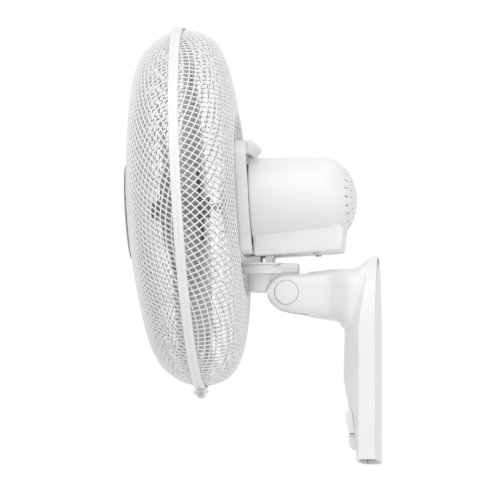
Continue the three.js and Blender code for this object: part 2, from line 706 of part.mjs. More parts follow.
// ---- guards -------------------------------------------------------------------------------
const rimRadius = guardRadius - 3.2;
const fromLip = (share, y) => [mix(rearLipRadius, rimRadius, share), y];
const fromCap = (share, y) => [mix(frontCapRadius, rimRadius, share), y];
const rearProfile = [[0, rearPlateY], [rearPlateRadius, rearPlateY], [88, 50.8], [101, 57], [108, 60.8],
  [rearLipRadius, guardDepthRear], fromLip(0.118, 61), fromLip(0.354, 57.6), fromLip(0.599, 52), fromLip(0.782, 44),
  fromLip(0.894, 34), fromLip(0.953, 22.5), fromLip(0.961, 9), [rimRadius - 3.4, 2]];
const frontProfile = [[0, -guardDepthFront + 1], [frontCapRadius, -guardDepthFront + 1.6], fromCap(0.188, -69),
  fromCap(0.332, -66), fromCap(0.488, -62), fromCap(0.632, -57.5), fromCap(0.726, -53), fromCap(0.82, -45.5),
  fromCap(0.885, -36), fromCap(0.942, -23.5), fromCap(0.97, -9.5), [rimRadius - 3.4, -2]];

// Straight lines of wire, drawn on the guard's skin unrolled flat, then laid on its curved profile.
function subdivided(polygon, longest) {
  const points = [];
  polygon.forEach(([x, y], k) => {
    const [x1, y1] = polygon[(k + 1) % polygon.length];
    const parts = Math.max(1, Math.ceil(Math.hypot(x1 - x, y1 - y) / longest));
    for (let n = 0; n < parts; n += 1) points.push([mix(x, x1, n / parts), mix(y, y1, n / parts)]);
  });
  return points;
}

function meshCells(angles, inner, outer) {
  const [a, b] = angles.map((angle) => THREE.MathUtils.degToRad(angle));
  const across = Math.sin(b - a);
  const meet = (p, q) => [(p * Math.sin(b) - q * Math.sin(a)) / across, (q * Math.cos(a) - p * Math.cos(b)) / across];
  const field = wasm.CrossSection.circle(outer, 36).subtract(wasm.CrossSection.circle(inner, 20));
  const half = wire / 2;
  const reach = Math.ceil(outer / netPitch) + 1;
  const cells = [];
  for (let i = -reach; i < reach; i += 1) {
    for (let j = -reach; j < reach; j += 1) {
      const [p0, p1] = [i * netPitch + half, (i + 1) * netPitch - half];
      const [q0, q1] = [j * netPitch + half, (j + 1) * netPitch - half];
      const corners = [meet(p0, q0), meet(p1, q0), meet(p1, q1), meet(p0, q1)];
      const cell = new wasm.CrossSection(corners, 'NonZero').intersect(field);
      for (const polygon of cell.toPolygons()) {
        const area = THREE.ShapeUtils.area(polygon.map(([x, y]) => new THREE.Vector2(x, y)));
        if (Math.abs(area) > 60) cells.push(subdivided(area > 0 ? polygon.reverse() : polygon, 52));
      }
    }
  }
  return cells;
}

function drapedNet(profile, angles, plateRadius, side) {
  const lengths = [0];
  for (let k = 1; k < profile.length; k += 1) {
    lengths.push(lengths[k - 1] + Math.hypot(profile[k][0] - profile[k - 1][0], profile[k][1] - profile[k - 1][1]));
  }
  const outer = lengths[lengths.length - 1];
  const edge = subdivided(arc(0, 0, outer, 0, 352.5, 47), 32);
  const cells = meshCells(angles, plateRadius + 4, outer - 4);
  const draped = wasm.Manifold.extrude([edge, ...cells], 1).warp((vertex) => {
    const [x, y, z] = vertex;
    const along = Math.min(outer, Math.hypot(x, y));
    const turn = Math.atan2(y, x);
    const s = Math.max(0, lengths.findIndex((length) => length >= along - 1e-6) - 1);
    const t = (along - lengths[s]) / (lengths[s + 1] - lengths[s]);
    const [r0, y0] = profile[s];
    const [r1, y1] = profile[s + 1];
    const length = Math.hypot(r1 - r0, y1 - y0);
    const lift = z * wire * side;
    const r = mix(r0, r1, t) - ((y1 - y0) / length) * lift;
    vertex[0] = r * Math.cos(turn);
    vertex[1] = mix(y0, y1, t) + ((r1 - r0) / length) * lift;
    vertex[2] = r * Math.sin(turn);
  });
  return solid(geometryOf(draped));
}

function rim(y0, y1) {
  return ringY(rimRadius - 3.6, rimRadius, y0, y1, 48);
}
piece(head, 'rear_guard', join(drapedNet(rearProfile, rearNetAngles, rearPlateRadius, 1), rim(gap, 4))
  .subtract(barY(rearBoreRadius, -100, 100, 0, 0, 30)), whiteWire);
piece(head, 'front_guard', join(drapedNet(frontProfile, frontNetAngles, frontCapRadius - 12, -1), rim(-4, -gap))
  .subtract(barY(9, -100, 0, 0, 0, 24)), whiteWire);

const bandHalf = bandWidth / 2;
piece(head, 'guard_band', turnedY([
  [guardRadius - bandThickness, -bandHalf], [guardRadius - bandThickness, bandHalf], [guardRadius - 0.8, bandHalf],
  [guardRadius, bandHalf - 1.2], [guardRadius, -bandHalf + 1.2], [guardRadius - 0.8, -bandHalf],
  [guardRadius - bandThickness, -bandHalf]], 48),
whitePlastic);

// The lock screw clip hangs under the band, its screw across the fan.
const clipRadius = 5.4;
const clipZ = -guardRadius - gap - clipRadius;
function bandClip() {
  const lug = barX(clipRadius, -6, 6, 0, clipZ, 28);
  const block = box(-6, 6, -8.5, 8.5, -guardRadius - 4.6, -guardRadius - gap);
  return join(lug, block).subtract(barX(2, -20, 20, 0, clipZ, 16));
}
piece(head, 'band_clip', bandClip(), whitePlastic);
piece(head, 'clip_screw', join(barX(3.1, 6 + gap, 8.2, 0, clipZ, 20), barX(1.6, -8, 7, 0, clipZ, 12)), steel);

piece(head, 'front_guard_cap', turnedY([[0, -guardDepthFront - 3.6], [frontCapRadius - 14, -guardDepthFront - 3.2],
  [frontCapRadius - 2, -guardDepthFront - 2.4], [frontCapRadius, -guardDepthFront - 1.6],
  [frontCapRadius, -guardDepthFront - 1.5], [8.6, -guardDepthFront - 1.5], [8.6, -guardDepthFront + 8],
  [0, -guardDepthFront + 8]], 36), whitePlastic);

piece(head, 'guard_lock_nut', join(
  ringY(rearBoreRadius - 0.2, 34, rearPlateY - 9, rearPlateY - gap, 36)), whitePlastic);

// ---- fan wheel ----------------------------------------------------------------------------
function blade(turn) {
  const rows = 4;
  const columns = 6;
  const rings = [];
  for (let i = 0; i <= rows; i += 1) {
    const u = i / rows;
    const radius = mix(hubRadius - 4, bladeTipRadius, u);
    const tipRounding = u > 0.9 ? 0.88 : 1;
    const halfSpan = THREE.MathUtils.degToRad(tipRounding
      * mix(bladeRootHalfSpan, bladeTipHalfSpan, Math.sin(Math.PI * 0.5 * u)));
    const rise = mix(bladeRootRise, bladeTipRise, u);
    const upper = [];
    const lower = [];
    for (let j = 0; j <= columns; j += 1) {
      const v = mix(-1, 1, j / columns);
      const angle = turn + v * halfSpan;
      const y = bladeCentreY - v * rise;
      const thick = (bladeThickness / 2) * (1 - 0.6 * Math.abs(v) ** 3);
      upper.push([radius * Math.cos(angle), y + thick, radius * Math.sin(angle)]);
      lower.push([radius * Math.cos(angle), y - thick, radius * Math.sin(angle)]);
    }
    rings.push([...upper, ...lower.reverse()]);
  }
  return loft(rings, true);
}

function fanWheel() {
  const wall = 2.5;
  let body = turnedY([[shaftRadius + 0.2, hubFront], [hubRadius - 6, hubFront], [hubRadius, hubFront + 5],
    [hubRadius, hubRear], [hubRadius - wall, hubRear], [hubRadius - wall, hubFront + 6], [hubRadius - 7, hubFront + wall],
    [12.5, hubFront + wall], [12.5, 24], [shaftRadius + 0.2, 24], [shaftRadius + 0.2, hubFront]], 30);
  const inside = barY(hubRadius - wall, hubFront + wall, 100, 0, 0, 30);
  for (let k = 0; k < bladeCount; k += 1) {
    const turn = THREE.MathUtils.degToRad(wheelTurn + 360 * k / bladeCount);
    body = body.add(blade(turn).subtract(inside));
  }
  return body;
}
piece(head, 'fan_wheel', fanWheel(), greyBlade);
piece(head, 'wheel_nut', turnedY([[0, shaftFront - 5], [9, shaftFront - 4], [14, hubFront - 4], [15, hubFront - gap],
  [shaftRadius + 0.2, hubFront - gap], [shaftRadius + 0.2, shaftFront - gap], [0, shaftFront - gap]], 32), darkPlastic);

export default fan;
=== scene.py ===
import math

import bmesh
import bpy
from mathutils import Matrix, Vector


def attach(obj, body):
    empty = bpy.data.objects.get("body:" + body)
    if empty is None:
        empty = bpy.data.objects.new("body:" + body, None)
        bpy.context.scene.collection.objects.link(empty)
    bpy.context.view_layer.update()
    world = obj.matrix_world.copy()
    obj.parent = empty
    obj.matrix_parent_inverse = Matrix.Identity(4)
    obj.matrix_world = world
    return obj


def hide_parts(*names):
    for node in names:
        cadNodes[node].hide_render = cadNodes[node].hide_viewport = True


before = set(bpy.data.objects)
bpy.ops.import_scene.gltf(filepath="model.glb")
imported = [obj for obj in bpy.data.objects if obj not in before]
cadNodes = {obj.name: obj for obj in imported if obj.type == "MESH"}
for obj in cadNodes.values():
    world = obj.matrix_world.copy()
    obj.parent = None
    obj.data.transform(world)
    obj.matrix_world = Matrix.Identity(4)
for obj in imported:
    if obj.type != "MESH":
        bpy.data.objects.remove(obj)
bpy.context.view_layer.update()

print("stage: camera")
camera = {
    "azimuth": 94.2,
    "elevation": -3.75,
    "distance": 15.0,
    "target": (0.0, -0.1557, 0.1325),
    "frameWidth": 0.6045,
}
azimuth = math.radians(camera["azimuth"])
elevation = math.radians(camera["elevation"])
towardsCamera = Vector((
    math.sin(azimuth) * math.cos(elevation),
    -math.cos(azimuth) * math.cos(elevation),
    math.sin(elevation),
))
cameraData = bpy.data.cameras.new("photoCamera")
cameraData.sensor_width = 36.0
cameraData.lens = 36.0 * camera["distance"] / camera["frameWidth"]
cameraObject = bpy.data.objects.new("photoCamera", cameraData)
cameraObject.location = Vector(camera["target"]) + camera["distance"] * towardsCamera
cameraObject.rotation_euler = towardsCamera.to_track_quat("Z", "Y").to_euler()
bpy.context.scene.collection.objects.link(cameraObject)
bpy.context.scene.camera = cameraObject

print("stage: light, floor and background")
studio = {
    "worldStrength": 0.7,
    "lamps": {
        "keyLamp": {"place": (1.4, -0.6, 1.9), "aim": (0, -0.15, 0.1), "size": (1.6, 1.6), "energy": 18.0},
        "fillLamp": {"place": (1.8, 1.2, 0.4), "aim": (0, -0.1, 0.1), "size": (1.4, 1.4), "energy": 7.0},
    },
    "floorHeight": -0.42,
    "floorHalf": 3.0,
    "floorColor": (0.9, 0.9, 0.9, 1.0),
    "floorRoughness": 0.9,
    "floorSpecular": 0.1,
}


# 1 for rays that see a surface or its mirror image, 0 for those that light it
def seenDirectly(tree):
    rays = tree.nodes.new("ShaderNodeLightPath")
    glossy = tree.nodes.new("ShaderNodeMath")
    glossy.operation = "MAXIMUM"
    tree.links.new(rays.outputs["Is Camera Ray"], glossy.inputs[0])
    tree.links.new(rays.outputs["Is Glossy Ray"], glossy.inputs[1])
    clear = tree.nodes.new("ShaderNodeMath")
    clear.operation = "MAXIMUM"
    tree.links.new(glossy.outputs[0], clear.inputs[0])
    tree.links.new(rays.outputs["Is Transmission Ray"], clear.inputs[1])
    return clear.outputs[0]


world = bpy.data.worlds.new("studioWorld")
world.use_nodes = True
worldTree = world.node_tree
backgroundNode = worldTree.nodes["Background"]
backgroundNode.inputs["Color"].default_value = (1, 1, 1, 1)
strength = worldTree.nodes.new("ShaderNodeMapRange")
strength.inputs["To Min"].default_value = studio["worldStrength"]
strength.inputs["To Max"].default_value = 1.0
worldTree.links.new(seenDirectly(worldTree), strength.inputs["Value"])
worldTree.links.new(strength.outputs["Result"], backgroundNode.inputs["Strength"])
bpy.context.scene.world = world
bpy.context.scene.view_settings.view_transform = "Standard"


def softLamp(name, place, aim, size, energy):
    lamp = bpy.data.lights.new(name, "AREA")
    lamp.shape = "RECTANGLE"
    lamp.size = size[0]
    lamp.size_y = size[1]
    lamp.energy = energy
    lampObject = bpy.data.objects.new(name, lamp)
    lampObject.location = place
    direction = Vector(place) - Vector(aim)
    lampObject.rotation_euler = direction.to_track_quat("Z", "Y").to_euler()
    bpy.context.scene.collection.objects.link(lampObject)


for name, values in studio["lamps"].items():
    softLamp(name, **values)

floorMaterial = bpy.data.materials.new("paleFloor")
floorMaterial.use_nodes = True
floorTree = floorMaterial.node_tree
floorShader = floorTree.nodes["Principled BSDF"]
floorShader.inputs["Base Color"].default_value = studio["floorColor"]
floorShader.inputs["Roughness"].default_value = studio["floorRoughness"]
floorShader.inputs["Specular IOR Level"].default_value = studio["floorSpecular"]
floorGlow = floorTree.nodes.new("ShaderNodeEmission")
floorMix = floorTree.nodes.new("ShaderNodeMixShader")
floorTree.links.new(seenDirectly(floorTree), floorMix.inputs["Fac"])
floorTree.links.new(floorShader.outputs["BSDF"], floorMix.inputs[1])
floorTree.links.new(floorGlow.outputs["Emission"], floorMix.inputs[2])
floorTree.links.new(floorMix.outputs["Shader"], floorTree.nodes["Material Output"].inputs["Surface"])
floorMesh = bpy.data.meshes.new("studioFloor")
corners = [(x * studio["floorHalf"], y * studio["floorHalf"], studio["floorHeight"])
           for x, y in ((-1, -1), (1, -1), (1, 1), (-1, 1))]
floorMesh.from_pydata(corners, [], [(0, 1, 2, 3)])
floorMesh.materials.append(floorMaterial)
floorObject = bpy.data.objects.new("studioFloor", floorMesh)
bpy.context.scene.collection.objects.link(floorObject)

print("stage: materials")
surface = {
    "cloudScale": 14.0, "cloudDetail": 4.0, "paleFrom": 0.3, "paleTo": 0.75,
    "glossBelow": 0.05, "glossAbove": 0.07, "grainDetail": 3.0, "bumpDistance": 0.0004,
}


# grain is the fine bump's scale, tone the share by which the colour drifts
def finishMaterial(name, color, roughness, metallic=0.0, grain=900.0, grainDepth=0.04, tone=0.03, coat=0.0):
    material = bpy.data.materials.new(name)
    material.use_nodes = True
    tree = material.node_tree
    shader = tree.nodes["Principled BSDF"]
    shader.inputs["Metallic"].default_value = metallic
    shader.inputs["Coat Weight"].default_value = coat
    place = tree.nodes.new("ShaderNodeTexCoord")
    cloud = tree.nodes.new("ShaderNodeTexNoise")
    cloud.inputs["Scale"].default_value = surface["cloudScale"]
    cloud.inputs["Detail"].default_value = surface["cloudDetail"]
    tree.links.new(place.outputs["Object"], cloud.inputs["Vector"])
    tones = tree.nodes.new("ShaderNodeValToRGB")
    tones.color_ramp.elements[0].position = surface["paleFrom"]
    tones.color_ramp.elements[1].position = surface["paleTo"]
    tones.color_ramp.elements[0].color = (*[c * (1 - tone) for c in color], 1)
    tones.color_ramp.elements[1].color = (*[min(1, c * (1 + tone)) for c in color], 1)
    tree.links.new(cloud.outputs["Fac"], tones.inputs["Fac"])
    tree.links.new(tones.outputs["Color"], shader.inputs["Base Color"])
    gloss = tree.nodes.new("ShaderNodeMapRange")
    gloss.inputs["To Min"].default_value = roughness - surface["glossBelow"]
    gloss.inputs["To Max"].default_value = roughness + surface["glossAbove"]
    tree.links.new(cloud.outputs["Fac"], gloss.inputs["Value"])
    tree.links.new(gloss.outputs["Result"], shader.inputs["Roughness"])
    speckle = tree.nodes.new("ShaderNodeTexNoise")
    speckle.inputs["Scale"].default_value = grain
    speckle.inputs["Detail"].default_value = surface["grainDetail"]
    tree.links.new(place.outputs["Object"], speckle.inputs["Vector"])
    bump = tree.nodes.new("ShaderNodeBump")
    bump.inputs["Strength"].default_value = grainDepth
    bump.inputs["Distance"].default_value = surface["bumpDistance"]
    tree.links.new(speckle.outputs["Fac"], bump.inputs["Height"])
    tree.links.new(bump.outputs["Normal"], shader.inputs["Normal"])
    return material


finishValues = {
    "whiteHousing": {"color": (0.86, 0.86, 0.855), "roughness": 0.42, "coat": 0.05},
    "whiteWire": {"color": (0.87, 0.87, 0.868), "roughness": 0.34, "grain": 500, "tone": 0.02},
    "greyBlade": {"color": (0.36, 0.368, 0.375), "roughness": 0.3, "grain": 700, "tone": 0.05},
    "paleNeck": {"color": (0.83, 0.83, 0.825), "roughness": 0.45},
    "darkPlastic": {"color": (0.035, 0.036, 0.038), "roughness": 0.5, "grain": 600, "grainDepth": 0.1,
                    "tone": 0.15},
    "zincSteel": {"color": (0.52, 0.53, 0.54), "roughness": 0.3, "metallic": 0.95, "grain": 300,
                  "grainDepth": 0.08, "tone": 0.12},
    "castAluminium": {"color": (0.6, 0.61, 0.62), "roughness": 0.45, "metallic": 0.9, "grain": 240,
                      "grainDepth": 0.25, "tone": 0.1},
    "copperWinding": {"color": (0.55, 0.22, 0.09), "roughness": 0.35, "metallic": 0.9, "grain": 420,
                      "grainDepth": 0.4, "tone": 0.18},
}
finishes = {name: finishMaterial(name, **values) for name, values in finishValues.items()}

print("stage: mesh tools")
# pieces are drawn in millimetres, those of the head about its own motor axis
head = {"place": (0, -0.2279, 0.1833), "pitch": 3.3}
headPose = Matrix.Translation(head["place"]) @ Matrix.Rotation(math.radians(head["pitch"]), 4, "X")
metres = Matrix.Scale(0.001, 4)
beyond = 200.0  # how far a cutter reaches past what it cuts
sharpOver = {"bevel": 60, "drawn": 32, "carried": 28}  # edges over these degrees are bevelled or stay sharp


def meshFrom(name, points, faces):
    mesh = bpy.data.meshes.new(name)
    mesh.from_pydata(points, [], faces)
    shape = bmesh.new()
    shape.from_mesh(mesh)
    bmesh.ops.remove_doubles(shape, verts=shape.verts, dist=1e-4)
    bmesh.ops.recalc_face_normals(shape, faces=shape.faces)
    shape.to_mesh(mesh)
    shape.free()
    return mesh


# a profile of (radius, along) turned about the Y axis
def turned(name, profile, segments=96):
    points = []
    faces = []
    for turn in range(segments):
        angle = 2 * math.pi * turn / segments
        for radius, along in profile:
            points.append((radius * math.cos(angle), along, radius * math.sin(angle)))
    count = len(profile)
    for turn in range(segments):
        following = (turn + 1) % segments
        for step in range(count - 1):
            faces.append((turn * count + step, turn * count + step + 1,
                          following * count + step + 1, following * count + step))
    return meshFrom(name, points, faces)


def tubeProfile(inner, outer, start, end):
    return [(inner, start), (outer, start), (outer, end), (inner, end), (inner, start)]


# two matching outlines with the sides between them
def slab(name, start, end):
    count = len(start)
    faces = [tuple(range(count)), tuple(range(2 * count - 1, count - 1, -1))]
    faces += [(k, (k + 1) % count, count + (k + 1) % count, count + k) for k in range(count)]
    return meshFrom(name, start + end, faces)


# rings of equal count, each end closed by one face, or by a strip of them where the end is thin
def lofted(name, rings, thin=False):
    count = len(rings[0])
    points = [point for ring in rings for point in ring]
    faces = []
    for row in range(len(rings) - 1):
        for step in range(count):
            following = (step + 1) % count
            faces.append((row * count + step, row * count + following,
                          (row + 1) * count + following, (row + 1) * count + step))
    for start in (0, (len(rings) - 1) * count):
        if thin:
            last = start + count - 1
            for step in range(count // 2 - 1):
                faces.append((start + step, start + step + 1, last - 1 - step, last - step))
        else:
            faces.append(tuple(start + step for step in range(count)))
    return meshFrom(name, points, faces)


# the plain mesh that the modifiers make of this one
def evaluated(mesh, addModifiers):
    holder = bpy.data.objects.new("holder", mesh)
    bpy.context.scene.collection.objects.link(holder)
    others = addModifiers(holder) or []
    graph = bpy.context.evaluated_depsgraph_get()
    result = bpy.data.meshes.new_from_object(holder.evaluated_get(graph), depsgraph=graph)
    for done in [holder, *others]:
        bpy.data.objects.remove(done)
    return result


def combined(mesh, other, operation):
    def add(holder):
        tool = bpy.data.objects.new("tool", other)
        bpy.context.scene.collection.objects.link(tool)
        modifier = holder.modifiers.new("combine", "BOOLEAN")
        modifier.operation = operation
        modifier.solver = "EXACT"
        modifier.object = tool
        return [tool]
    return evaluated(mesh, add)


def rounded(mesh, width, segments):
    def add(holder):
        modifier = holder.modifiers.new("round", "BEVEL")
        modifier.width = width
        modifier.segments = segments
        modifier.limit_method = "ANGLE"
        modifier.angle_limit = math.radians(sharpOver["bevel"])
    return evaluated(mesh, add)


def cuboid(x0, x1, y0, y1, z0, z1):
    points = [(x, y, z) for x in (x0, x1) for y in (y0, y1) for z in (z0, z1)]
    faces = [(0, 1, 3, 2), (4, 6, 7, 5), (0, 4, 5, 1), (2, 3, 7, 6), (0, 2, 6, 4), (1, 5, 7, 3)]
    return meshFrom("cuboid", points, faces)


# turned about a line along X instead, through (y, z)
def turnedAlongX(name, profile, y, z, segments=72):
    mesh = turned(name, profile, segments)
    mesh.transform(Matrix.Translation((0, y, z)) @ Matrix.Rotation(-math.pi / 2, 4, "Z"))
    return mesh


def barAlongX(radius, x0, x1, y, z):
    return turnedAlongX("bar", [(0, x0), (radius, x0), (radius, x1), (0, x1)], y, z)


def joined(name, meshes):
    shape = bmesh.new()
    for mesh in meshes:
        shape.from_mesh(mesh)
    result = bpy.data.meshes.new(name)
    shape.to_mesh(result)
    shape.free()
    return result


def placed(name, mesh, body, finish, nodes, inHead=False):
    mesh.transform((headPose if inHead else Matrix.Identity(4)) @ metres)
    mesh.materials.clear()
    mesh.materials.append(finishes[finish])
    for polygon in mesh.polygons:
        polygon.use_smooth = True
    mesh.set_sharp_from_angle(angle=math.radians(sharpOver["drawn"]))
    mesh.name = name
    piece = bpy.data.objects.new(name, mesh)
    bpy.context.scene.collection.objects.link(piece)
    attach(piece, body)
    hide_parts(*nodes)


# 0 up to the start, then a soft rise to 1 over the length
def eased(value, start, length):
    t = min(1.0, max(0.0, (value - start) / length))
    return t * t * (3 - 2 * t)


def between(a, b, t):
    return a + (b - a) * t


def arc(centre, radius, start, end, step=6):
    count = max(1, round(abs(end - start) / step))
    turns = [math.radians(start + (end - start) * k / count) for k in range(count + 1)]
    return [(centre[0] + radius * math.cos(t), centre[1] + radius * math.sin(t)) for t in turns]


# a soft curve through the points
def smoothed(points, steps=6):
    result = []
    for k in range(len(points) - 1):
        before = points[max(0, k - 1)]
        start, end = points[k], points[k + 1]
        after = points[min(len(points) - 1, k + 2)]
        for n in range(steps):
            t = n / steps
            result.append(tuple(
                0.5 * (2 * s + (e - b) * t + (2 * b - 5 * s + 4 * e - a) * t * t
                       + (3 * s - b - 3 * e + a) * t ** 3)
                for b, s, e, a in zip(before, start, end, after)))
    result.append(points[-1])
    return result


print("stage: base and arm")
base = {
    "halfWidth": 65.0, "top": 124.0, "bottom": -124.4, "archCentre": 23.0,
    "foot": 25.5, "bulge": 42.0, "waist": -25.0, "footCurve": 1.15,  # how deep the front is from foot to waist
    "shoulder": 40.0, "shoulderDrop": 1.5, "crownLead": 6.0, "crownDrop": 3.0, "crownReach": 9.0,
    "sideDepth": 20.0, "topDepth": 10.0, "roundness": 2.3, "leastHalf": 2.0,
    "wall": 2.5, "gap": 0.3, "ringSteps": 40, "footRings": 24, "archRings": 26, "archShare": 0.985,
}
arm = {
    "pivotY": -109.9, "pivotZ": 79.6, "endRadius": 23.5, "halfWidth": 26.0,
    "rootTop": 108.6, "rootBottom": 46.0,
    "topRun": (-6, 80), "bottomRun": (-8, 68),  # start and length, from the pivot
    "spread": (22, -62, 34), "spreadBack": (5, -20, 14),  # amount, start and length, from the wall
    "footFillet": (22, -52, 22), "topFillet": (9, -30, 20),
    "roundness": 3.4, "sides": 64, "ringStep": 4, "endRings": 14, "tipGap": 0.4,
    "outerEnd": -7.0, "innerEnd": -4.0, "wall": 3.3, "forkHalfGap": 17.4, "forkDepth": 2.5, "webDepth": 4.0,
    "boltRadius": 4.3, "capRadius": 14.4, "capGap": 0.5, "capSeat": 4.0,
}
keyRow = {
    "count": 5, "width": 14.5, "gap": 1.2, "length": 18.0, "pivotZ": -90.6,
    "sideGap": 0.5, "above": 3.5, "below": 2.0, "front": -60.0, "rear": -12.0,
}


def baseFrontAt(z):
    waist, shoulder = base["waist"], base["shoulder"]
    if z < waist:
        t = max(0.0, (z - base["bottom"]) / (waist - base["bottom"]))
        return between(base["foot"], base["bulge"], t ** base["footCurve"])
    if z < shoulder:
        return base["bulge"] - base["shoulderDrop"] * eased(z, waist, shoulder - waist)
    return between(base["bulge"] - base["shoulderDrop"], base["topDepth"] + base["crownLead"],
                   eased(z, shoulder, base["top"] - shoulder))


def baseRing(z, inset):
    rise = max(0.0, (z - base["archCentre"]) / (base["top"] - base["archCentre"]))
    half = max(base["leastHalf"], base["halfWidth"] * math.sqrt(max(0.0, 1 - rise * rise)) - inset)
    side = between(base["sideDepth"], base["topDepth"], eased(rise, 0, 1)) - inset
    front = between(base["topDepth"] - base["crownDrop"], baseFrontAt(z),
                    eased(base["top"] - z, 0, base["crownReach"])) - inset
    sideHere = min(side, front)
    back = 1.0 if inset > 0 else -base["gap"]
    ring = [(half, back, z)]
    for k in range(base["ringSteps"] + 1):
        t = between(1, -1, k / base["ringSteps"])
        ring.append((half * t, -(sideHere + (front - sideHere) * (1 - abs(t) ** base["roundness"])), z))
    ring.append((-half, back, z))
    return ring


# the hollow, drawn with an inset, is open at the foot and at the back
def baseBody(inset):
    lowest = base["bottom"] - 1 if inset > 0 else base["bottom"]
    feet, steps = base["footRings"], base["archRings"]
    heights = [between(lowest, base["archCentre"], k / feet) for k in range(feet + 1)]
    reach = base["top"] - base["archCentre"] - inset
    heights += [base["archCentre"] + reach * math.sin(math.pi / 2 * base["archShare"] * k / steps)
                for k in range(1, steps + 1)]
    return lofted("baseBody", [baseRing(z, inset) for z in heights])


def added(run, y):
    amount, start, length = run
    return amount * eased(y, start, length)


def armRing(y, inset):
    fromPivot = y - arm["pivotY"]
    bottomStart, bottomLength = arm["bottomRun"]
    top = between(arm["pivotZ"] + arm["endRadius"], arm["rootTop"], eased(fromPivot, *arm["topRun"]))
    bottom = between(arm["pivotZ"] - arm["endRadius"], arm["rootBottom"],
                     min(1, max(0, (fromPivot - bottomStart) / bottomLength)))
    if fromPivot < 0:
        half = math.sqrt(max(1, arm["endRadius"] ** 2 - fromPivot ** 2))
        top = min(top, arm["pivotZ"] + half)
        bottom = max(bottom, arm["pivotZ"] - half)
    bottom -= added(arm["footFillet"], y)
    top += added(arm["topFillet"], y)
    halfWidth = arm["halfWidth"] + added(arm["spread"], y) - added(arm["spreadBack"], y) - inset
    centre = (top + bottom) / 2
    halfHeight = (top - bottom) / 2 - inset
    power = 2 / arm["roundness"]
    ring = []
    for k in range(arm["sides"]):
        angle = 2 * math.pi * (k + 0.5) / arm["sides"]
        c, s = math.cos(angle), math.sin(angle)
        ring.append((halfWidth * math.copysign(abs(c) ** power, c), y,
                     centre + halfHeight * math.copysign(abs(s) ** power, s)))
    return ring


def armBody(inset, start, end):
    reach, steps = arm["endRadius"] - arm["tipGap"], arm["endRings"]
    places = [arm["pivotY"] - reach * math.cos(math.pi / 2 * k / steps) for k in range(steps + 1)]
    y = arm["pivotY"] + arm["ringStep"]
    while y < end:
        places.append(y)
        y += arm["ringStep"]
    return lofted("armBody", [armRing(y, inset) for y in places if y >= start] + [armRing(end, inset)])


pivot = (arm["pivotY"], arm["pivotZ"])
armTip = arm["pivotY"] - arm["endRadius"]
forkEnd = arm["pivotY"] + arm["endRadius"] + arm["forkDepth"]
forkHalf = arm["forkHalfGap"]
shell = combined(baseBody(0), armBody(0, armTip, arm["outerEnd"]), "UNION")
shell = combined(shell, baseBody(base["wall"]), "DIFFERENCE")
shell = combined(shell, armBody(arm["wall"], forkEnd + arm["webDepth"], arm["innerEnd"]), "DIFFERENCE")
shell = combined(shell, cuboid(-forkHalf, forkHalf, -beyond, forkEnd, -beyond, beyond), "DIFFERENCE")
shell = combined(shell, barAlongX(arm["boltRadius"], -beyond, beyond, *pivot), "DIFFERENCE")
for side in (-1, 1):
    seat = sorted((side * (arm["halfWidth"] - arm["capSeat"]), side * beyond))
    shell = combined(shell, barAlongX(arm["capRadius"] + arm["capGap"], *seat, *pivot), "DIFFERENCE")
keysHalf = (keyRow["count"] * (keyRow["width"] + keyRow["gap"]) - keyRow["gap"]) / 2 + keyRow["sideGap"]
keysBottom = keyRow["pivotZ"] - keyRow["length"] - keyRow["below"]
keysTop = keyRow["pivotZ"] + keyRow["above"]
keySpace = cuboid(-keysHalf, keysHalf, keyRow["front"], keyRow["rear"], keysBottom, keysTop)
shell = combined(shell, keySpace, "DIFFERENCE")
placed("wallBaseShell", shell, "wall_base", "whiteHousing", ["base_shell"])

print("stage: pivot caps")
pivotCap = {
    "seat": 1.4, "edge": 0.2,  # in from the arm's side
    "rim": ((0, -0.1), (0.25, 0.35), (0.8, 0.7)),  # in from the radius, out from the edge
    "dome": ((0.8, 1.1), (0.5, 1.6), (0.25, 1.8), (0, 1.85)),  # share of the radius, out from the edge
}
capSeat, capEdge = arm["halfWidth"] - pivotCap["seat"], arm["halfWidth"] - pivotCap["edge"]
capProfile = [(0, capSeat), (arm["capRadius"], capSeat)]
capProfile += [(arm["capRadius"] - inward, capEdge + out) for inward, out in pivotCap["rim"]]
capProfile += [(arm["capRadius"] * share, capEdge + out) for share, out in pivotCap["dome"]]
for side, name, node in ((1, "pivotCoverRight", "pivot_cap_right"), (-1, "pivotCoverLeft", "pivot_cap_left")):
    cap = turnedAlongX(name, [(radius, side * x) for radius, x in capProfile], *pivot, 96)
    placed(name, cap, "wall_base", "whiteHousing", [node])

print("stage: motor rear cover")
barrel = {
    "frontRadius": 56.8, "rearRadius": 50.4, "start": 75.8, "hollowStart": 70.0, "wall": 2.5,
    "domeStart": 164.0, "domeEnd": 202.0, "domeSteps": 20,
    "boxHalfWidth": 39.5, "boxBottom": -64.5, "boxRear": 186.0, "boxTop": -20.0, "boxTaper": 0.86,
    "taperStart": 75.5, "corner": 4.0, "rearLean": 4.0, "creaseTop": -38.0, "creaseDepth": 14.0,
    "edgeRound": 3.5, "slots": 20, "slotDepth": 16.0, "slotWidth": 1.8,
    "slotRings": ((33.5, 192.4, 5.6), (24.0, 197.4, 4.2)),  # radius, place along the axis and slot length
}


def barrelProfile(inset):
    length = barrel["domeEnd"] - barrel["domeStart"] - inset
    start = barrel["hollowStart"] if inset > 0 else barrel["start"]
    steps = barrel["domeSteps"]
    dome = [((barrel["rearRadius"] - inset) * math.cos(math.pi / 2 * k / steps),
             barrel["domeStart"] + length * math.sin(math.pi / 2 * k / steps)) for k in range(steps)]
    return [(0, start), (barrel["frontRadius"] - inset, start), *dome, (0, barrel["domeEnd"] - inset)]


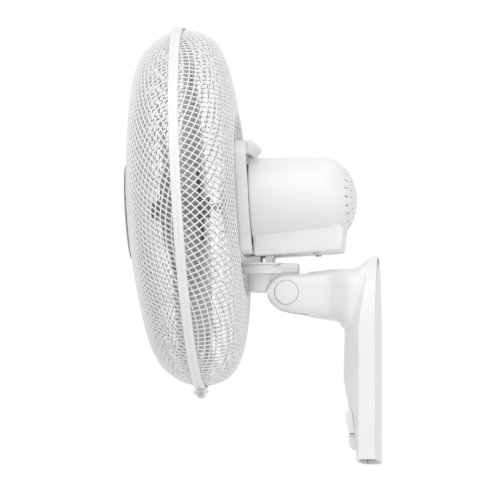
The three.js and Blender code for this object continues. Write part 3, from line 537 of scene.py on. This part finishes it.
def lowerBox(inset):
    start = barrel["hollowStart"] if inset > 0 else barrel["start"]
    bottom = barrel["boxBottom"] + inset
    rear = barrel["boxRear"] - inset
    corner = barrel["corner"]
    outline = [(start, bottom)]
    outline += arc((rear - barrel["rearLean"] - corner, bottom + corner), corner, -90, -10, 10)
    outline += [(rear, barrel["creaseTop"]), (rear - barrel["creaseDepth"], barrel["boxTop"]),
                (start, barrel["boxTop"])]
    half = barrel["boxHalfWidth"] - inset
    taperLength = barrel["boxRear"] - barrel["taperStart"]
    ends = [[(side * half * between(1, barrel["boxTaper"], (y - barrel["taperStart"]) / taperLength), y, z)
             for y, z in outline] for side in (-1, 1)]
    return slab("lowerBox", *ends)


def ventSlotTree():
    tree = bpy.data.node_groups.new("ventSlots", "GeometryNodeTree")
    sockets = {}
    for name, kind in (("Radius", "NodeSocketFloat"), ("Along", "NodeSocketFloat"), ("Slots", "NodeSocketInt"),
                       ("Size", "NodeSocketVector")):
        sockets[name] = tree.interface.new_socket(name, in_out="INPUT", socket_type=kind).identifier
    tree.interface.new_socket("Geometry", in_out="OUTPUT", socket_type="NodeSocketGeometry")
    given = tree.nodes.new("NodeGroupInput")
    circle = tree.nodes.new("GeometryNodeMeshCircle")
    turn = tree.nodes.new("GeometryNodeTransform")
    turn.inputs["Rotation"].default_value = (math.pi / 2, 0, 0)
    slot = tree.nodes.new("GeometryNodeMeshCube")
    spread = tree.nodes.new("GeometryNodeInstanceOnPoints")
    position = tree.nodes.new("GeometryNodeInputPosition")
    face = tree.nodes.new("FunctionNodeAlignEulerToVector")
    face.axis = "X"
    shift = tree.nodes.new("ShaderNodeCombineXYZ")
    move = tree.nodes.new("GeometryNodeTransform")
    real = tree.nodes.new("GeometryNodeRealizeInstances")
    paint = tree.nodes.new("GeometryNodeSetMaterial")
    paint.inputs["Material"].default_value = finishes["whiteHousing"]
    out = tree.nodes.new("NodeGroupOutput")
    link = tree.links.new
    link(given.outputs["Slots"], circle.inputs["Vertices"])
    link(given.outputs["Radius"], circle.inputs["Radius"])
    link(circle.outputs["Mesh"], turn.inputs["Geometry"])
    link(turn.outputs["Geometry"], spread.inputs["Points"])
    link(given.outputs["Size"], slot.inputs["Size"])
    link(slot.outputs["Mesh"], spread.inputs["Instance"])
    link(position.outputs["Position"], face.inputs["Vector"])
    link(face.outputs["Rotation"], spread.inputs["Rotation"])
    link(spread.outputs["Instances"], real.inputs["Geometry"])
    link(given.outputs["Along"], shift.inputs["Y"])
    link(shift.outputs["Vector"], move.inputs["Translation"])
    link(real.outputs["Geometry"], move.inputs["Geometry"])
    link(move.outputs["Geometry"], paint.inputs["Geometry"])
    link(paint.outputs["Geometry"], out.inputs["Geometry"])
    return tree, sockets


ventTree, ventSockets = ventSlotTree()


def ventSlots(radius, along, size):
    def add(holder):
        modifier = holder.modifiers.new("slots", "NODES")
        modifier.node_group = ventTree
        modifier[ventSockets["Radius"]] = radius
        modifier[ventSockets["Along"]] = along
        modifier[ventSockets["Slots"]] = barrel["slots"]
        modifier[ventSockets["Size"]] = size
    return evaluated(bpy.data.meshes.new("slotSeed"), add)


rearCover = turned("barrel", barrelProfile(0), 128)
rearCover = combined(rearCover, rounded(lowerBox(0), barrel["edgeRound"], 4), "UNION")
rearCover = combined(rearCover, turned("barrelInside", barrelProfile(barrel["wall"])), "DIFFERENCE")
rearCover = combined(rearCover, lowerBox(barrel["wall"]), "DIFFERENCE")
for radius, along, length in barrel["slotRings"]:
    slots = ventSlots(radius, along, (length, barrel["slotDepth"], barrel["slotWidth"]))
    rearCover = combined(rearCover, slots, "DIFFERENCE")
placed("motorRearHousing", rearCover, "head", "whiteHousing", ["motor_rear_cover"], True)

print("stage: motor front cover")
collar = {
    "halfWidth": 72.5, "top": 74.5, "bottom": -62.0, "front": 60.0, "rear": 75.5, "wall": 2.5, "corner": 24.0,
    "sideArc": (-6, -36), "footCorner": 8.0, "footArc": (-5, -90, 12), "edgeRound": 4.0, "spare": 6.0,
    "lipHalfWidth": 48.0, "lipRound": 0.8,
    "lip": [(72.8, 58.2), (79.4, 58.2), (81.0, 60.6), (84.0, 63.2), (86.2, 65.6), (86.9, 67.4),
            (86.6, 69.4), (85.4, 71.8), (83.6, 73.7), (81.4, 74.5), (72.8, 74.5)],
    "spigot": (14, 46, 52.5, 62), "nose": (14, 18, 38, 60),  # inner and outer radius, front and rear
}


def collarOutline(inset):
    half, low, corner = collar["halfWidth"] - inset, collar["bottom"] + inset, collar["corner"]
    foot = half * math.cos(math.radians(collar["sideArc"][1]))
    footCorner = collar["footCorner"]
    right = arc((collar["halfWidth"] - corner, collar["top"] - corner), corner - inset, 90, 0)
    right += arc((0, 0), half, *collar["sideArc"])
    right += arc((foot - footCorner, low + footCorner), footCorner, *collar["footArc"])
    return right + [(-x, z) for x, z in reversed(right)]


def collarSlab(inset, y0, y1):
    return slab("collar", *[[(x, y, z) for x, z in collarOutline(inset)] for y in (y0, y1)])


# drawn with spare length, so that the cut leaves its rear edge sharp
frontCover = rounded(collarSlab(0, collar["front"], collar["rear"] + collar["spare"]), collar["edgeRound"], 4)
rearCut = cuboid(-beyond, beyond, collar["rear"], beyond, -beyond, beyond)
frontCover = combined(frontCover, rearCut, "DIFFERENCE")
hollow = collarSlab(collar["wall"], collar["front"] + collar["wall"], beyond)
frontCover = combined(frontCover, hollow, "DIFFERENCE")
lipHalf = collar["lipHalfWidth"]
lip = slab("lip", *[[(x, y, z) for y, z in collar["lip"]] for x in (-lipHalf, lipHalf)])
frontCover = combined(frontCover, rounded(lip, collar["lipRound"], 2), "UNION")
for name in ("spigot", "nose"):
    frontCover = combined(frontCover, turned(name, tubeProfile(*collar[name])), "UNION")
placed("motorFrontHousing", frontCover, "head", "whiteHousing", ["motor_front_cover"], True)

print("stage: wire guards")
guard = {
    "radius": 220.0, "wireRadius": 0.85, "step": 5.0,
    "rearFamilies": ((47.0, 8.0), (-47.0, 8.0)),  # the wires' direction in degrees and their pitch
    "frontFamilies": ((-13.0, 7.4), (50.0, 6.4)),
    "rearProfile": [(0, 50), (62, 50), (88, 50.8), (101, 57), (108, 60.8), (115, 62.5), (127, 61), (151, 57.6),
                    (176, 52), (194.6, 44), (206, 34), (212, 22.5), (214.6, 9), (214.2, 3)],
    "frontProfile": [(0, -72.5), (57, -71.9), (87, -69), (110, -66), (135, -62), (158, -57.5), (173, -53),
                     (188, -45.5), (198.4, -36), (207.5, -23.5), (213, -9.5), (214.2, -3)],
    "rearInner": 60.0, "frontInner": 50.0,  # no wires inside these radii
    "rearRings": ((214.0, 3.2, 2.0), (115.0, 62.2, 1.2)),  # radius, place along the axis and thickness
    "frontRings": ((214.0, -3.2, 2.0), (52.0, -71.5, 1.2)),
    "rearPlate": [(18.8, 49.9), (63, 49.9), (63, 51.6), (62, 52.1), (18.8, 52.1), (18.8, 49.9)],
}


# straight wires laid out flat, trimmed to a disc, then draped over the guard's profile
def netTree():
    tree = bpy.data.node_groups.new("wireNet", "GeometryNodeTree")
    sockets = {}
    for name, kind in (("Profile", "NodeSocketObject"), ("Angle", "NodeSocketFloat"),
                       ("Half Span", "NodeSocketFloat"), ("Wires", "NodeSocketInt"),
                       ("Reach", "NodeSocketFloat"), ("Inner", "NodeSocketFloat"), ("Steps", "NodeSocketInt"),
                       ("Slack", "NodeSocketFloat"), ("Wire Radius", "NodeSocketFloat"),
                       ("Material", "NodeSocketMaterial")):
        sockets[name] = tree.interface.new_socket(name, in_out="INPUT", socket_type=kind).identifier
    tree.interface.new_socket("Geometry", in_out="OUTPUT", socket_type="NodeSocketGeometry")
    link = tree.links.new
    given = tree.nodes.new("NodeGroupInput")

    def math2(operation, a, b=None):
        node = tree.nodes.new("ShaderNodeMath")
        node.operation = operation
        for socket, value in zip(node.inputs, (a, b)):
            if value is None:
                continue
            if isinstance(value, (int, float)):
                socket.default_value = value
            else:
                link(value, socket)
        return node.outputs[0]

    def vector(x=None, y=None, z=None):
        node = tree.nodes.new("ShaderNodeCombineXYZ")
        for socket, value in zip(node.inputs, (x, y, z)):
            if value is not None:
                link(value, socket)
        return node.outputs["Vector"]

    def straightLine(count, start, end):
        node = tree.nodes.new("GeometryNodeMeshLine")
        node.mode = "END_POINTS"
        link(count, node.inputs["Count"])
        link(start, node.inputs["Start Location"])
        link(end, node.inputs["Offset"])
        return node.outputs["Mesh"]

    span = given.outputs["Half Span"]
    reach = given.outputs["Reach"]
    spacing = straightLine(given.outputs["Wires"], vector(x=math2("MULTIPLY", span, -1.0)), vector(x=span))
    wire = straightLine(given.outputs["Steps"], vector(y=math2("MULTIPLY", reach, -1.0)), vector(y=reach))
    spread = tree.nodes.new("GeometryNodeInstanceOnPoints")
    link(spacing, spread.inputs["Points"])
    link(wire, spread.inputs["Instance"])
    real = tree.nodes.new("GeometryNodeRealizeInstances")
    link(spread.outputs["Instances"], real.inputs["Geometry"])
    turn = tree.nodes.new("GeometryNodeTransform")
    link(real.outputs["Geometry"], turn.inputs["Geometry"])
    link(vector(z=given.outputs["Angle"]), turn.inputs["Rotation"])
    position = tree.nodes.new("GeometryNodeInputPosition")
    parts = tree.nodes.new("ShaderNodeSeparateXYZ")
    link(position.outputs["Position"], parts.inputs["Vector"])
    size = tree.nodes.new("ShaderNodeVectorMath")
    size.operation = "LENGTH"
    link(position.outputs["Position"], size.inputs[0])
    distance = size.outputs["Value"]
    outside = math2("GREATER_THAN", distance, math2("ADD", reach, given.outputs["Slack"]))
    inside = math2("LESS_THAN", distance, given.outputs["Inner"])
    trim = tree.nodes.new("GeometryNodeDeleteGeometry")
    trim.domain = "POINT"
    link(turn.outputs["Geometry"], trim.inputs["Geometry"])
    link(math2("MAXIMUM", outside, inside), trim.inputs["Selection"])
    profile = tree.nodes.new("GeometryNodeObjectInfo")
    link(given.outputs["Profile"], profile.inputs["Object"])
    sample = tree.nodes.new("GeometryNodeSampleCurve")
    sample.mode = "LENGTH"
    sample.use_all_curves = False
    link(profile.outputs["Geometry"], sample.inputs["Curves"])
    link(math2("MINIMUM", distance, reach), sample.inputs["Length"])
    onProfile = tree.nodes.new("ShaderNodeSeparateXYZ")
    link(sample.outputs["Position"], onProfile.inputs["Vector"])
    heading = math2("ARCTAN2", parts.outputs["Y"], parts.outputs["X"])
    radius = onProfile.outputs["X"]
    drape = tree.nodes.new("GeometryNodeSetPosition")
    link(trim.outputs["Geometry"], drape.inputs["Geometry"])
    link(vector(math2("MULTIPLY", radius, math2("COSINE", heading)), onProfile.outputs["Y"],
                math2("MULTIPLY", radius, math2("SINE", heading))), drape.inputs["Position"])
    toCurve = tree.nodes.new("GeometryNodeMeshToCurve")
    link(drape.outputs["Geometry"], toCurve.inputs["Mesh"])
    circle = tree.nodes.new("GeometryNodeCurvePrimitiveCircle")
    circle.inputs["Resolution"].default_value = 6
    link(given.outputs["Wire Radius"], circle.inputs["Radius"])
    tube = tree.nodes.new("GeometryNodeCurveToMesh")
    tube.inputs["Fill Caps"].default_value = True
    link(toCurve.outputs["Curve"], tube.inputs["Curve"])
    link(circle.outputs["Curve"], tube.inputs["Profile Curve"])
    settled = tree.nodes.new("GeometryNodeRealizeInstances")
    link(tube.outputs["Mesh"], settled.inputs["Geometry"])
    paint = tree.nodes.new("GeometryNodeSetMaterial")
    link(settled.outputs["Geometry"], paint.inputs["Geometry"])
    link(given.outputs["Material"], paint.inputs["Material"])
    out = tree.nodes.new("NodeGroupOutput")
    link(paint.outputs["Geometry"], out.inputs["Geometry"])
    return tree, sockets


wireTree, wireSockets = netTree()


def wireNet(profile, families, inner):
    outline = smoothed(profile)
    reach = sum(math.dist(a, b) for a, b in zip(outline, outline[1:]))
    curve = bpy.data.curves.new("netProfile", "CURVE")
    curve.dimensions = "3D"
    spline = curve.splines.new("POLY")
    spline.points.add(len(outline) - 1)
    for point, (radius, along) in zip(spline.points, outline):
        point.co = (radius, along, 0, 1)
    curveObject = bpy.data.objects.new("netProfile", curve)
    bpy.context.scene.collection.objects.link(curveObject)
    nets = []
    for angle, pitch in families:
        wires = 2 * int(reach / pitch) + 1
        values = {
            "Profile": curveObject, "Angle": math.radians(angle), "Half Span": (wires - 1) / 2 * pitch,
            "Wires": wires, "Reach": reach, "Inner": inner, "Steps": int(2 * reach / guard["step"]),
            "Slack": guard["step"], "Wire Radius": guard["wireRadius"], "Material": finishes["whiteWire"],
        }

        def add(holder):
            modifier = holder.modifiers.new("net", "NODES")
            modifier.node_group = wireTree
            for name, value in values.items():
                modifier[wireSockets[name]] = value
        nets.append(evaluated(bpy.data.meshes.new("netSeed"), add))
    bpy.data.objects.remove(curveObject)
    return nets


def wireRing(radius, along, thickness):
    profile = arc((radius, along), thickness, 0, 360, 36)
    return turned("wireRing", profile, 160)


rearNet = wireNet(guard["rearProfile"], guard["rearFamilies"], guard["rearInner"])
rearRings = [wireRing(*ring) for ring in guard["rearRings"]]
rearGuard = joined("rearGuard", [*rearNet, turned("rearPlate", guard["rearPlate"]), *rearRings])
placed("rearWireGuard", rearGuard, "head", "whiteWire", ["rear_guard"], True)
frontNet = wireNet(guard["frontProfile"], guard["frontFamilies"], guard["frontInner"])
frontRings = [wireRing(*ring) for ring in guard["frontRings"]]
frontGuard = joined("frontGuard", [*frontNet, *frontRings])
placed("frontWireGuard", frontGuard, "head", "whiteWire", ["front_guard"], True)

print("stage: guard band and front cap")
band = {
    "halfWidth": 6.0, "depth": 2.5,
    "edge": ((1.0, 0.0), (0.3, 0.3), (0.0, 1.0)),  # in from the radius and from the side
    "groove": ((0.0, 0.8), (0.6, 0.5)),  # in from the radius, out from the middle
}
bandHalf = [(guard["radius"] - band["depth"], band["halfWidth"])]
bandHalf += [(guard["radius"] - inward, band["halfWidth"] - side) for inward, side in band["edge"]]
bandHalf += [(guard["radius"] - inward, out) for inward, out in band["groove"]]
bandOther = [(radius, -along) for radius, along in reversed(bandHalf)]
guardBand = turned("guardBand", [bandOther[-1], *bandHalf, *bandOther], 240)
placed("guardBand", guardBand, "head", "whiteHousing", ["guard_band"], True)
frontCapProfile = [(0, -77.1), (20, -77.0), (38, -76.7), (50, -76.2), (55, -75.8), (56.6, -75.4), (57, -75.1),
                   (8.6, -75.0), (8.6, -65.5), (0, -65.5)]
frontCap = turned("frontCap", frontCapProfile, 128)
placed("frontCap", frontCap, "head", "whiteHousing", ["front_guard_cap"], True)

print("stage: fan wheel")
wheel = {
    "blades": 3, "tip": 196.0, "thickness": 2.2, "edgeThinning": 0.6, "rows": 22, "columns": 20,
    "rootHalfSpan": 30.0, "tipHalfSpan": 37.0, "rootRise": 20.0, "tipRise": 13.0, "middle": -7.0, "turn": 4.5,
    "tipRounding": 0.14, "tipRun": (0.78, 0.22),  # share of the span, start and length along the blade
    "hub": 51.0, "hubFront": -33.0, "hubRear": 12.0, "hubWall": 2.5, "bore": 4.2, "boss": 12.5,
    "bossRear": 24.0, "rootSunk": 1.2,
    "noseEdge": ((7, 0), (3, 0.8), (1, 2.5), (0, 6)),  # in from the hub's radius, back from its front
}


def blade(turn):
    rings = []
    for row in range(wheel["rows"] + 1):
        u = row / wheel["rows"]
        radius = between(wheel["hub"] - wheel["rootSunk"], wheel["tip"], u)
        span = between(wheel["rootHalfSpan"], wheel["tipHalfSpan"], math.sin(math.pi / 2 * u))
        halfSpan = math.radians(span * (1 - wheel["tipRounding"] * eased(u, *wheel["tipRun"])))
        rise = between(wheel["rootRise"], wheel["tipRise"], u)
        upper, lower = [], []
        for column in range(wheel["columns"] + 1):
            v = between(-1, 1, column / wheel["columns"])
            angle = turn + v * halfSpan
            along = wheel["middle"] - v * rise
            thick = wheel["thickness"] / 2 * (1 - wheel["edgeThinning"] * abs(v) ** 3)
            upper.append((radius * math.cos(angle), along + thick, radius * math.sin(angle)))
            lower.append((radius * math.cos(angle), along - thick, radius * math.sin(angle)))
        rings.append(upper + lower[::-1])
    return lofted("blade", rings, thin=True)


hub, wall, bore, boss = wheel["hub"], wheel["hubWall"], wheel["bore"], wheel["boss"]
front, rear, bossRear = wheel["hubFront"], wheel["hubRear"], wheel["bossRear"]
nose, shoulder = wheel["noseEdge"][0][0], wheel["noseEdge"][-1][1]
hubProfile = [(bore, front), *[(hub - inward, front + back) for inward, back in wheel["noseEdge"]]]
hubProfile += [(hub, rear), (hub - wall, rear), (hub - wall, front + shoulder), (hub - nose, front + wall)]
hubProfile += [(boss, front + wall), (boss, bossRear), (bore, bossRear), (bore, front)]
blades = [blade(math.radians(wheel["turn"] + 360 * k / wheel["blades"])) for k in range(wheel["blades"])]
wheelMesh = joined("fanWheel", [turned("hub", hubProfile, 128), *blades])
placed("bladedWheel", wheelMesh, "rotor_set", "greyBlade", ["fan_wheel"], True)

print("stage: carried over solids")


# smooth faces, sharp only where they meet at a clear angle
def softEdgeTree():
    tree = bpy.data.node_groups.new("softEdges", "GeometryNodeTree")
    tree.interface.new_socket("Geometry", in_out="INPUT", socket_type="NodeSocketGeometry")
    tree.interface.new_socket("Geometry", in_out="OUTPUT", socket_type="NodeSocketGeometry")
    given = tree.nodes.new("NodeGroupInput")
    out = tree.nodes.new("NodeGroupOutput")
    faces = tree.nodes.new("GeometryNodeSetShadeSmooth")
    faces.domain = "FACE"
    edges = tree.nodes.new("GeometryNodeSetShadeSmooth")
    edges.domain = "EDGE"
    angle = tree.nodes.new("GeometryNodeInputMeshEdgeAngle")
    limit = tree.nodes.new("ShaderNodeMath")
    limit.operation = "LESS_THAN"
    limit.inputs[1].default_value = math.radians(sharpOver["carried"])
    link = tree.links.new
    link(angle.outputs["Unsigned Angle"], limit.inputs[0])
    link(limit.outputs[0], edges.inputs["Shade Smooth"])
    link(given.outputs["Geometry"], faces.inputs["Geometry"])
    link(faces.outputs["Geometry"], edges.inputs["Geometry"])
    link(edges.outputs["Geometry"], out.inputs["Geometry"])
    return tree


softEdges = softEdgeTree()
carried = {
    "whiteHousing": ["control_panel", "key_off", "key_low", "key_medium", "key_high", "key_swing", "wall_plate",
                     "band_clip", "guard_lock_nut"],
    "paleNeck": ["neck", "turntable"],
    "darkPlastic": ["terminal_block", "cable_gland", "switch_block", "friction_washer_1", "friction_washer_2",
                    "run_capacitor"],
    "zincSteel": ["wall_screw_1", "wall_screw_2", "wall_screw_3", "wall_screw_4", "key_shaft", "tilt_bolt",
                  "tilt_nut", "oscillation_motor", "oscillation_crank", "cover_screw_1", "cover_screw_2",
                  "front_bearing", "rear_bearing", "stator_core", "motor_shaft", "clip_screw"],
    "greyBlade": ["wheel_nut"],
    "castAluminium": ["front_bracket", "rear_bracket", "rotor"],
    "copperWinding": ["stator_winding_1", "stator_winding_2"],
}
for finish, names in carried.items():
    for name in names:
        solid = cadNodes[name]
        for materialSlot in solid.material_slots:
            materialSlot.material = finishes[finish]
        modifier = solid.modifiers.new("softEdges", "NODES")
        modifier.node_group = softEdges
